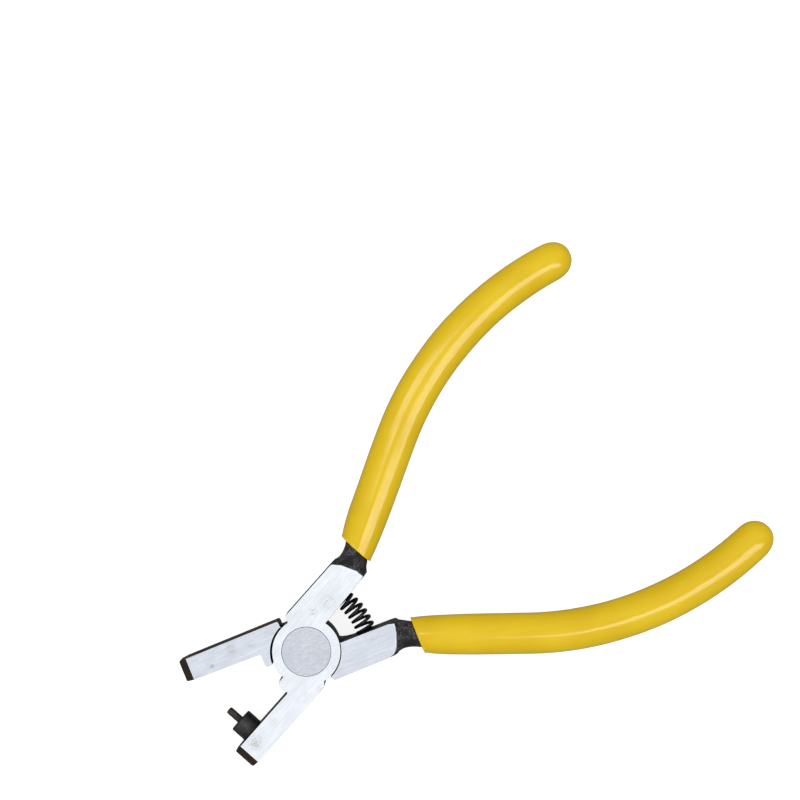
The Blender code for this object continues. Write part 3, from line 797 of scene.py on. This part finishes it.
def unfold(mesh):
    """A broken edge can fold a face's outline over itself at a tight corner;
    the two points of each fold are drawn together."""
    shape = bmesh.new()
    shape.from_mesh(mesh)
    for _ in range(12):
        folded = set()
        for corner in shape.calc_loop_triangles():
            face = corner[0].face
            if len(face.verts) < 5:
                continue
            a, b, c = (loop.vert.co for loop in corner)
            across = (b - a).cross(c - a)
            if across.length > 1e-12 and across.normalized().dot(face.normal) < -0.5:
                folded.add(face)
        pairs = []
        for face in folded:
            points = [loop.vert for loop in face.loops]
            worst = None
            for i, here in enumerate(points):
                before, after = points[i - 1], points[(i + 1) % len(points)]
                come, go = here.co - before.co, after.co - here.co
                short = min(come.length, go.length)
                if short < 0.35 * MM and come.length > 0 and go.length > 0:
                    bend = come.normalized().dot(go.normalized())
                    if bend < -0.1 and (worst is None or bend < worst[0]):
                        worst = (bend, here, before if come.length < go.length else after)
            if worst:
                pairs.append(worst[1:])
        if not pairs:
            break
        for one, other in pairs:
            if one.is_valid and other.is_valid and one is not other:
                bmesh.ops.pointmerge(shape, verts=[one, other], merge_co=(one.co + other.co) / 2)
    bmesh.ops.dissolve_degenerate(shape, edges=shape.edges, dist=1e-6)
    shape.to_mesh(mesh)
    shape.free()


def region(lever, centre, normal):
    """Which finish a face of the lever has, from where it lies in plan."""
    side = lever["side"]
    u, v, z = centre.x, side * centre.y, centre.z
    nu, nv, nz = normal.x, side * normal.y, normal.z
    near_face = min(abs(z - THICK), abs(z)) < EDGE * 1.3
    if abs(nz) > 0.999 and near_face and min(abs(z - THICK), abs(z)) < 0.02 * MM:
        return FACE
    if u < JAW_TIP + TIP_BEVEL + 0.05 * MM and nu < -0.4:
        return TIP
    if near_face and abs(nz) > 0.08 and u < 22 * MM:
        return RIM
    if abs(nz) < 0.3 and 2.0 * MM < u < 19.3 * MM and abs(v - lever["root_outer"]) < EDGE * 1.3 and nv > 0.6:
        return SIDE
    if abs(nz) < 0.3 and u < -2.2 * MM and abs(v - lever["jaw_outer"]) < EDGE * 1.3 + 0.1 * MM and nv < -0.6:
        return SIDE
    if lever["front"] and abs(nz) < 0.3 and abs(math.hypot(u, v) - BOSS_R) < 0.06 * MM and z > MID:
        return SIDE
    if lever["front"] and abs(nz) < 0.3 and -9.3 * MM < u < -5.8 * MM and abs(v - lever["tooth_top"]) < 0.2 * MM and nv > 0.6:
        return SIDE
    return BLACK


def make_lever(name, lever, materials):
    body = lever_shape(name + "_body", lever)
    mesh = body.data
    # edges to break: sharp ones, wider where a ground face meets them
    shape = bmesh.new()
    shape.from_mesh(mesh)
    weight = shape.edges.layers.float.get("bevel_weight_edge") or shape.edges.layers.float.new("bevel_weight_edge")
    for edge in shape.edges:
        if len(edge.link_faces) != 2:
            continue
        angle = edge.calc_face_angle(0.0)
        if angle < math.radians(24):
            continue
        ground = [
            region(lever, f.calc_center_median(), f.normal) in (FACE, SIDE, TIP) for f in edge.link_faces
        ]
        edge[weight] = 1.0 if any(ground) else 0.55
    shape.to_mesh(mesh)
    shape.free()
    bevel = body.modifiers.new("broken_edges", "BEVEL")
    bevel.limit_method = "WEIGHT"
    bevel.width = EDGE
    bevel.segments = 3
    bevel.profile = 0.6
    bevel.use_clamp_overlap = False
    bevel.miter_outer = "MITER_ARC"
    baked = evaluated_mesh(body)
    body.modifiers.clear()
    body.data = baked
    unfold(body.data)
    body.data.materials.clear()
    for material in materials:
        body.data.materials.append(material)
    for face in body.data.polygons:
        face.material_index = region(lever, face.center, face.normal)
    body.data.transform(placed(lever))
    shade(body, 40)
    true_flats(body)
    body.name = body.data.name = name
    return body


# ----------------------------------------------------------------- the sleeves
def grip_radius(s):
    swell = 1 - math.exp(-max(0.0, s) / (4.0 * MM))
    t = s / (83.0 * MM)
    return (3.86 + 0.59 * swell + 0.12 * math.sin(math.pi * min(1.0, t * 1.05)) - 0.25 * t * t) * MM


def make_grip(name, lever, material):
    """The dipped sleeve: a rolled lip at the slanted mouth, a slightly uneven
    skin, and a soft rounded end."""
    side = lever["side"]
    count = 72

    def tilted(s, width, height, power=2.0):
        u, v, angle = handle_at(lever, s)
        turn = angle * min(1.0, max(0.0, s / (7.0 * MM)))
        across = (-math.sin(turn), math.cos(turn))
        return ring_across((u, v), across, width / math.cos(angle - turn), height, power, count, side)

    inner = [
        section(entry, side, count)
        for entry in (tang_rings(lever, SLEEVE_GAP, 2.6 * MM) + tang_end(lever, SLEEVE_GAP))
    ]
    width, height = tang_size(0.0)
    rings = inner[::-1]
    rings.append(tilted(0.9 * MM, width + 0.22 * MM, height + 0.18 * MM, 2.4))
    # the lip: a half round between the hollow and the outside
    wide_in, tall_in = width + 0.44 * MM, height + 0.36 * MM
    wide_out = grip_radius(0.0) + 0.07 * MM
    for k in range(9):
        a = math.pi * k / 8
        mix = (1 - math.cos(a)) / 2
        s = -0.30 * MM + 0.14 * MM * (1 - math.sin(a))
        rings.append(
            tilted(s, wide_in + (wide_out - wide_in) * mix, tall_in + (wide_out - tall_in) * mix, 2.3 - 0.3 * mix)
        )
    cap = grip_radius(lever["grip"])
    straight_end = lever["grip"] - cap * 1.12
    steps = 160
    for k in range(1, steps + 1):
        s = -0.16 * MM + (straight_end + 0.16 * MM) * (k / steps) ** 1.25
        # the lip stands a little proud of the skin behind it
        radius = grip_radius(s) + 0.07 * MM * math.exp(-(((s + 0.16 * MM) / (0.34 * MM)) ** 2))
        rings.append(tilted(s, radius, radius))
    for k in range(1, 17):
        t = k / 16 * math.radians(87)
        s = straight_end + cap * 1.12 * math.sin(t)
        rings.append(tilted(s, cap * math.cos(t) ** 0.93, cap * math.cos(t) ** 0.93))
    obj = loft(name, rings)
    # the dip is never quite even: broad shallow waves in the skin
    from mathutils import noise as field

    start = len(inner) * count
    for vertex in obj.data.vertices[start:]:
        here = vertex.co * 1000.0
        wave = field.noise(Vector((here.x * 0.11, here.y * 0.11, here.z * 0.11)) + Vector((side * 3.1, 0.7, 1.9)))
        small = field.noise(Vector((here.x * 0.42, here.y * 0.42, here.z * 0.42)) + Vector((7.7, side * 2.2, 0.3)))
        vertex.co += vertex.normal * (0.045 * wave + 0.014 * small) * MM
    obj.data.materials.append(material)
    obj.data.transform(placed(lever))
    obj.data.shade_smooth()
    return obj


# ------------------------------------------------------------------ small parts
def make_rivet(name, material):
    head, edge = 5.345 * MM, 0.05 * MM
    profile = [(0, THICK)]
    profile += [(head * k / 6, THICK) for k in range(1, 6)]
    profile += arc_profile(head, THICK, edge, True, 4)
    profile += [
        (head, THICK - RIVET_HEAD_H + FIT),
        (RIVET_SHANK_R, THICK - RIVET_HEAD_H + FIT),
        (RIVET_SHANK_R, RIVET_HEAD_H - FIT),
        (head, RIVET_HEAD_H - FIT),
    ]
    profile += arc_profile(head, 0.0, edge, False, 4)
    profile += [(head * k / 6, 0) for k in range(5, 0, -1)]
    profile.append((0, 0))
    obj = turned(name, profile, 192, Matrix.Identity(4))
    obj.data.materials.append(material)
    shade(obj, 30)
    true_flats(obj)
    return obj


ALONG_V = placed(PUNCH) @ Matrix.Translation((PUNCH_U, 0, MID)) @ Matrix.Rotation(-math.pi / 2, 4, "X")


def make_holder(name, materials):
    jaw = PUNCH["jaw_inner"][0]
    top_seat = SHANK_BOTTOM + PIN_HEAD_H + 2 * FIT
    bore = PIN_R + 0.03 * MM
    wide = HOLDER_R + 0.07 * MM
    profile = [
        (bore, top_seat + 0.1 * MM),
        (bore, HOLDER_TOP - 0.10 * MM),
        (bore + 0.05 * MM, HOLDER_TOP - 0.03 * MM),
        (bore + 0.10 * MM, HOLDER_TOP + 0.06 * MM),
        (1.6 * MM, HOLDER_TOP + 0.06 * MM),
    ]
    profile += arc_profile(wide, HOLDER_TOP + 0.06 * MM, 0.2 * MM, True, 6)
    # a shallow turned groove above the flange that sits on the jaw
    for k in range(9):
        a = math.pi * k / 8
        profile.append((wide - 0.07 * MM * math.sin(a), HOLDER_TOP - 2.55 * MM - 0.3 * MM * k / 8))
    profile += arc_profile(wide, jaw + 0.03 * MM, 0.08 * MM, False, 4)
    profile += [
        (SHANK_R, jaw + 0.03 * MM),
        (SHANK_R, SHANK_BOTTOM),
        (PIN_HEAD_R + FIT, SHANK_BOTTOM),
        (PIN_HEAD_R + FIT, top_seat),
    ]
    obj = turned(name, profile, 128, ALONG_V)
    for material in materials:
        obj.data.materials.append(material)
    flip = ALONG_V.inverted()
    for face in obj.data.polygons:
        here = flip @ face.center
        face.material_index = 1 if here.z > HOLDER_TOP - 0.12 * MM else 0
    shade(obj, 30)
    return obj


def make_pin(name, material):
    stout = PIN_R + 0.07 * MM
    tip = PIN_TIP + 0.12 * MM
    profile = [(0, tip)]
    profile += arc_profile(stout, tip, 0.42 * MM, True, 10)
    profile += [(stout, PIN_TIP - 0.5 * MM - 0.5 * MM * k) for k in range(1, 5)]
    profile += [
        (stout, HOLDER_TOP + 0.08 * MM),
        (PIN_R, HOLDER_TOP - 0.02 * MM),
        (PIN_R, SHANK_BOTTOM + FIT / 2 + PIN_HEAD_H),
        (PIN_HEAD_R, SHANK_BOTTOM + FIT / 2 + PIN_HEAD_H),
        (PIN_HEAD_R, SHANK_BOTTOM + FIT / 2),
        (0, SHANK_BOTTOM + FIT / 2),
    ]
    obj = turned(name, profile, 64, ALONG_V)
    obj.data.materials.append(material)
    shade(obj, 30)
    return obj


def make_spring(name, material):
    """A close-ended coil: its line is an arc about the pivot between the two
    seats; the coils lie closer inside the seats, and the last ones touch."""
    radius_line, coil_r, wire_r = 13.57 * MM, 1.93 * MM, 0.34 * MM
    reach = 4.2 * MM
    arc = 2 * HALF_OPEN * radius_line
    total = arc + 2 * reach
    pitch = math.radians(6.01) * radius_line

    def line(s):
        """Centre and coil-plane direction at s along the line, 0 in the middle."""
        if abs(s) <= arc / 2:
            turn = s / radius_line
            point = Matrix.Rotation(turn, 3, "Z") @ Vector((radius_line, 0, 0))
            lean = turn * 0.66
        else:
            turn = math.copysign(HALF_OPEN, s)
            past = abs(s) - arc / 2
            point = Matrix.Rotation(turn, 3, "Z") @ Vector((radius_line, math.copysign(past, s), 0))
            lean = turn * (0.66 + 0.34 * min(1.0, past / (1.6 * MM)))
        return point, lean

    def turns(s):
        """Coils between the middle and s: open in the gap, closer in the seats."""
        a = abs(s)
        open_end = arc / 2 + 0.6 * MM
        n = min(a, open_end) / pitch
        if a > open_end:
            n += (min(a, total / 2 - 0.66 * MM) - open_end) / (1.02 * MM)
        if a > total / 2 - 0.66 * MM:
            n += (a - (total / 2 - 0.66 * MM)) / (0.64 * MM)
        return math.copysign(n, s)

    steps = 1150
    rim = 14
    centres = []
    for i in range(steps + 1):
        s = -total / 2 + total * i / steps
        point, lean = line(s)
        outwards = Matrix.Rotation(lean, 3, "Z") @ Vector((1, 0, 0))
        phase = 2 * math.pi * turns(s) + math.radians(84)
        spot = point + coil_r * (outwards * math.cos(phase) - HAND * Vector((0, 0, 1)) * math.sin(phase))
        centres.append(spot + Vector((0, 0, MID)))
    rings = []
    normal = None
    for i, centre in enumerate(centres):
        ahead = (centres[min(i + 1, steps)] - centres[max(i - 1, 0)]).normalized()
        normal = Vector((0, 1, 0)) if normal is None else normal
        normal = (normal - ahead * normal.dot(ahead)).normalized()
        other = ahead.cross(normal)
        grow = 1.0
        if i < 4 or i > steps - 4:
            grow = (0.45, 0.72, 0.9, 0.98)[min(i, steps - i) if min(i, steps - i) < 4 else 3]
        rings.append(
            [
                centre + wire_r * grow * (normal * math.cos(2 * math.pi * k / rim) + other * math.sin(2 * math.pi * k / rim))
                for k in range(rim)
            ]
        )
    obj = loft(name, rings)
    obj.data.materials.append(material)
    obj.data.shade_smooth()
    return obj


HAND = 1.0

# ------------------------------------------------------------------- materials
lean_a, lean_b = -HALF_OPEN, HALF_OPEN        # turns world into each plan frame
A_TONE, B_TONE = (0.625, 0.655, 0.70), (0.512, 0.542, 0.596)
steel_a = ground_steel(
    "steel_face_punch_side", A_TONE, lean_a, (0.25, 3.4, 3.4), 1.0,
    contrast=1.15,
    smudges=[
        (-20.3, -9.8, 9.6, 2.2, 0.60), (10.1, 5.9, 9.6, 2.6, 0.42), (6.2, 6.3, 9.6, 1.5, 0.38),
        (3.0, -6.5, 9.6, 1.2, 0.32), (-2.4, -8.6, 9.6, 1.6, 0.28), (-14.5, -8.2, 9.6, 1.6, 0.18),
    ],
)
steel_b = ground_steel(
    "steel_face_anvil_side", B_TONE, lean_b, (0.25, 3.4, 3.4), 2.0,
    contrast=1.25,
    smudges=[
        (-18.6, 9.2, 9.6, 0.75, 0.95), (-13.2, 9.9, 9.6, 1.9, 0.50), (-8.9, 8.2, 9.6, 1.5, 0.42),
        (-22.4, 8.8, 9.6, 1.6, 0.34), (14.0, -6.0, 9.6, 2.4, 0.20),
    ],
)
# Broken edges: a lighter copy of the face steel, a painted highlight along them, and a much darker copy for the edges
# that face -Y, painted shade.
edge_a_painted_highlight = ground_steel("steel_edge_painted_highlight_punch_side", tuple(min(1, c * 1.18) for c in A_TONE), lean_a, (0.4, 2.0, 2.0), 1.5, rough=0.24, strength=0.5)
edge_b_painted_highlight = ground_steel("steel_edge_painted_highlight_anvil_side", tuple(min(1, c * 1.22) for c in B_TONE), lean_b, (0.4, 2.0, 2.0), 2.5, rough=0.24, strength=0.5)
edge_a_painted_shade = ground_steel("steel_edge_painted_shade_punch_side", tuple(c * 0.42 for c in A_TONE), lean_a, (0.4, 2.0, 2.0), 1.7, rough=0.34, strength=0.5)
edge_b_painted_shade = ground_steel("steel_edge_painted_shade_anvil_side", tuple(c * 0.42 for c in B_TONE), lean_b, (0.4, 2.0, 2.0), 2.7, rough=0.34, strength=0.5)
# Side walls: plain ground steel for the walls facing -Y, and a dark brown copy for those facing +Y, painted shade on
# the same ground steel.
side_a_bright = ground_steel("steel_side_punch_jaw", (0.56, 0.56, 0.57), lean_a, (3.6, 0.5, 0.22), 3.0, rough=0.34)
side_b_bright = ground_steel("steel_side_anvil_root", (0.55, 0.55, 0.565), lean_b, (3.6, 0.5, 0.22), 4.0, rough=0.34)
side_a_painted_shade = dark_side("painted_shade_side_punch_root", (0.020, 0.016, 0.015), lean_a, 1.0, streak=0.15)
side_b_painted_shade = dark_side("painted_shade_side_anvil_jaw", (0.040, 0.028, 0.023), lean_b, 2.0, streak=0.7)
tip_a = dark_side("dark_tip_punch", (0.025, 0.0135, 0.0075), lean_a, 3.0, streak=0.2)
tip_b = dark_side("dark_tip_anvil", (0.025, 0.0135, 0.0075), lean_b, 4.0, streak=0.2)
black_a = black_oxide("black_oxide_painted_sheen_punch_side", 1.0)
black_b = black_oxide("black_oxide_painted_sheen_anvil_side", 2.0)
rivet_steel = ground_steel("rivet_steel", (0.475, 0.497, 0.548), math.radians(12), (0.9, 4.4, 4.4), 5.0, rough=0.36, strength=0.8, contrast=1.9)
holder_side = black_oxide("holder_oxide", 3.0, painted_sheen=0.12, depth=0.006, spec=0.32)
holder_top = black_oxide("holder_top_oxide", 4.0, painted_sheen=0.1, depth=0.006)
pin_steel = dark_side("pin_steel", (0.036, 0.028, 0.026), lean_a, 5.0, streak=0.25)
spring_wire = black_oxide("spring_wire_oxide", 6.0, painted_sheen=0.1, depth=0.006, spec=0.12)
vinyl_a = dipped_vinyl("vinyl_punch_side", 1.0, -math.radians(24))
vinyl_b = dipped_vinyl("vinyl_anvil_side", 2.0, math.radians(24))


# ------------------------------------------------------------- pieces in place
def region_sides(lever, obj, root_slot, shaded_edge_slot):
    """The root's outer side takes a slot apart from the jaw's, so the walls facing +Y get the dark copy (painted shade)
    and those facing -Y the ground steel;
    on both levers the broken edges facing -Y take a dark copy of the edge steel, painted shade too."""
    back = placed(lever).inverted()
    for face in obj.data.polygons:
        if face.material_index == SIDE and (back @ face.center).x > 1.5 * MM:
            face.material_index = root_slot
        elif face.material_index == RIM and face.normal.y < -0.2:
            face.material_index = shaded_edge_slot


punch = make_lever("punch_lever_shape", PUNCH, [steel_a, side_a_bright, tip_a, black_a, edge_a_painted_highlight, side_a_painted_shade, edge_a_painted_shade])
region_sides(PUNCH, punch, 5, 6)
anvil = make_lever("anvil_lever_shape", ANVIL, [steel_b, side_b_painted_shade, tip_b, black_b, edge_b_painted_highlight, side_b_bright, edge_b_painted_shade])
region_sides(ANVIL, anvil, 5, 6)
grip_a = make_grip("sleeve_punch_side", PUNCH, vinyl_a)
grip_b = make_grip("sleeve_anvil_side", ANVIL, vinyl_b)
rivet = make_rivet("rivet_turned", rivet_steel)
holder = make_holder("punch_holder_turned", [holder_side, holder_top])
pin = make_pin("punch_pin_turned", pin_steel)
spring = make_spring("return_spring_coil", spring_wire)

for piece, node, body, slot in (
    (punch, "punch_lever", "punch_side", "punch_lever"),
    (anvil, "anvil_lever", "anvil_side", "anvil_lever"),
    (grip_a, "grip_punch_side", "punch_side", "sleeve_punch_side"),
    (grip_b, "grip_anvil_side", "anvil_side", "sleeve_anvil_side"),
    (rivet, "pivot_rivet", "anvil_side", "rivet"),
    (holder, "punch_holder", "punch_side", "holder"),
    (pin, "punch_pin", "punch_side", "pin"),
):
    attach(piece, body)
    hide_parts(node)
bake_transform(spring)
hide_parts("return_spring")


# ---------------------------------------------------------- floor, light, view
def make_floor():
    shape = bmesh.new()
    bmesh.ops.create_grid(shape, x_segments=8, y_segments=8, size=2.5)
    mesh = bpy.data.meshes.new("floor")
    shape.to_mesh(mesh)
    shape.free()
    floor = put_in_scene("floor", mesh)
    floor.location = (0.04, 0.03, -0.0002)
    n = Nodes("white_table")
    tone = n.noise(n.coords(0.0, (0.01, 0.01, 0.01)), 1.0, 2.0, 0.5)
    color = n.mix(tone, (0.44, 0.44, 0.44), (0.46, 0.46, 0.46))
    n.done(color, 0.75, None, Specular_IOR_Level=0.1, Emission_Color=(1.0, 1.0, 1.0, 1.0), Emission_Strength=0.8)
    mesh.materials.append(n.material)
    # a lit white table: it is seen, but the pieces above it are lit by the studio
    floor.visible_diffuse = False
    floor.visible_glossy = False
    return floor


make_floor()

world = bpy.data.worlds.new("studio")
bpy.context.scene.world = world
world.use_nodes = True
tree = world.node_tree
background = tree.nodes["Background"]
where = tree.nodes.new("ShaderNodeTexCoord")
split = tree.nodes.new("ShaderNodeSeparateXYZ")
tree.links.new(where.outputs["Generated"], split.inputs[0])
above = tree.nodes.new("ShaderNodeMapRange")
above.interpolation_type = "SMOOTHSTEP"
below = tree.nodes.new("ShaderNodeMapRange")
for node, ends in ((above, (0.0, 1.0, 0.0, 0.86)), (below, (-1.0, 0.02, 0.12, 0.60))):
    for key, value in zip(("From Min", "From Max", "To Min", "To Max"), ends):
        node.inputs[key].default_value = value
    tree.links.new(split.outputs["Z"], node.inputs["Value"])
ramp = tree.nodes.new("ShaderNodeMath")
ramp.operation = "ADD"
tree.links.new(above.outputs["Result"], ramp.inputs[0])
tree.links.new(below.outputs["Result"], ramp.inputs[1])
background.inputs["Color"].default_value = (1.0, 1.0, 1.0, 1.0)
tree.links.new(ramp.outputs["Value"], background.inputs["Strength"])

SHOT_TURN = math.radians(35.3)                 # world +X lies this far above the picture's right
RIGHT = Vector((math.cos(SHOT_TURN), -math.sin(SHOT_TURN), 0))
UP = Vector((math.sin(SHOT_TURN), math.cos(SHOT_TURN), 0))
CENTRE = Vector((0.04828, 0.03292, 0))


def strip(name, target, offset, height, length, width, along, radiance, color=(1, 1, 1)):
    """A long soft strip light above the target, radiance given at its face."""
    light = bpy.data.lights.new(name, "AREA")
    light.shape = "RECTANGLE"
    light.size, light.size_y = length, width
    light.energy = radiance * math.pi * length * width
    light.color = color
    lamp = bpy.data.objects.new(name, light)
    bpy.context.scene.collection.objects.link(lamp)
    spot = Vector(target) + offset + Vector((0, 0, height))
    z = (spot - Vector(target)).normalized()
    x = (along - z * along.dot(z)).normalized()
    y = z.cross(x)
    lamp.matrix_world = Matrix.Translation(spot) @ Matrix((x, y, z)).transposed().to_4x4()
    return lamp


# two soft boxes give the glossy pieces their long highlights; the sky does the rest
shiny = bpy.data.collections.new("shiny_pieces")
for piece in (grip_a, grip_b, holder, pin, spring):
    shiny.objects.link(piece)
TABLE = CENTRE + Vector((0, 0, 0.01))


def soft_box(name, across, up, length, width, turn, radiance):
    """A soft box 1.4 m above the table; its place and size are given as they
    would be at a height of one."""
    high = 1.4
    lamp = strip(
        name, TABLE, (RIGHT * across + UP * up) * high, high, length * high, width * high,
        RIGHT * math.cos(turn) + UP * math.sin(turn), radiance,
    )
    lamp.visible_diffuse = False
    lamp.light_linking.receiver_collection = shiny
    return lamp


soft_box("soft_box_right", 0.62, -0.44, 1.25, 0.36, math.radians(-22), 9.8)
soft_box("soft_box_left", -0.50, 0.29, 0.80, 0.25, math.radians(150), 8.0)

camera_data = bpy.data.cameras.new("shot")
camera_data.lens = 102.4
camera_data.sensor_width = 36.0
camera_data.clip_start = 0.01
camera_data.clip_end = 20.0
camera = bpy.data.objects.new("shot", camera_data)
bpy.context.scene.collection.objects.link(camera)
camera.location = (CENTRE.x, CENTRE.y, 0.5046)
camera.rotation_euler = (0, 0, -SHOT_TURN)
bpy.context.scene.camera = camera
bpy.context.scene.view_settings.view_transform = "Standard"
bpy.context.scene.view_settings.look = "None"
